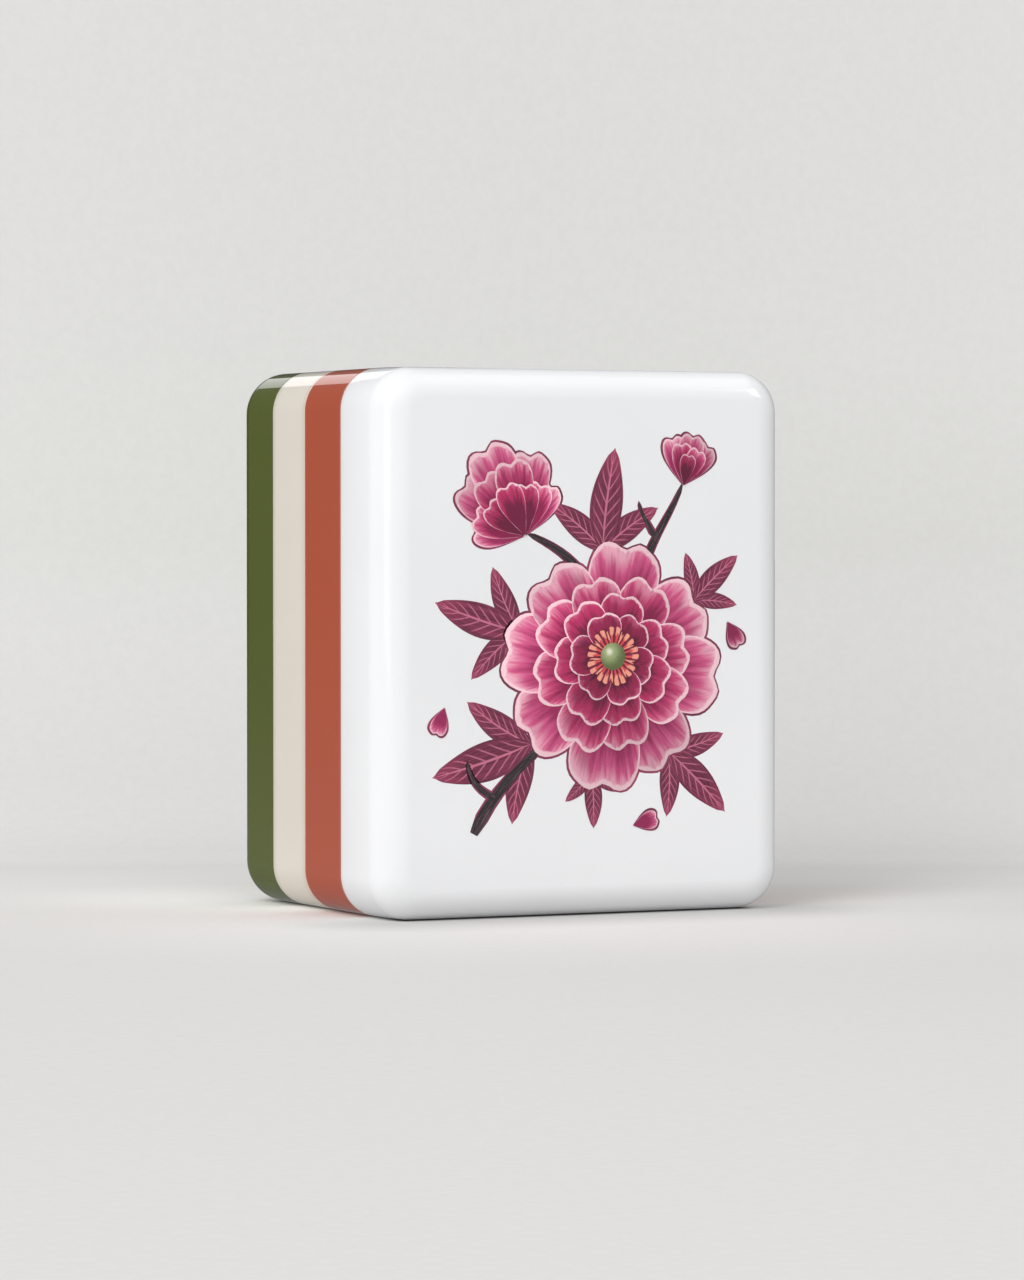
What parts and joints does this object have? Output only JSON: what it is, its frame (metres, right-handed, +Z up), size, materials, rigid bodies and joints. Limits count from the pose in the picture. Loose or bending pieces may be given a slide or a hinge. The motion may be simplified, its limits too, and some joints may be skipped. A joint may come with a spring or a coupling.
{
  "type": "mahjong tile",
  "caption": "Thick rounded mahjong tile of four coloured acrylic layers, with a flower spray printed on its white face.",
  "frame": {"origin": "middle of the tile's lower edge, on the surface it stands on", "axes": "+X to the reader's right, -Y out of the printed face, +Z up the face as the picture stands"},
  "size_m": [0.027, 0.021, 0.032],
  "materials": {
    "green_acrylic": "polished olive-green acrylic",
    "cream_acrylic": "polished cream acrylic",
    "rust_acrylic": "polished rust-red acrylic",
    "white_acrylic": "polished white acrylic",
    "clear_cement": "cured clear acrylic cement",
    "plum_print": "cured plum printing ink",
    "black_print": "cured black printing ink",
    "blush_print": "cured pale pink printing ink",
    "rose_print": "cured rose printing ink",
    "magenta_print": "cured magenta printing ink",
    "crimson_print": "cured crimson printing ink",
    "coral_print": "cured coral-red printing ink",
    "olive_print": "cured olive-green printing ink"
  },
  "bodies": {
    "root": {"back_slab": "green_acrylic", "back_bond": "clear_cement", "cream_slab": "cream_acrylic", "middle_bond": "clear_cement", "rust_slab": "rust_acrylic", "face_bond": "clear_cement", "face_slab": "white_acrylic", "plum_ink": "plum_print", "black_ink": "black_print", "blush_ink": "blush_print", "rose_ink": "rose_print", "magenta_ink": "magenta_print", "crimson_ink": "crimson_print", "coral_ink": "coral_print", "olive_ink": "olive_print"}
  },
  "joints": []
}
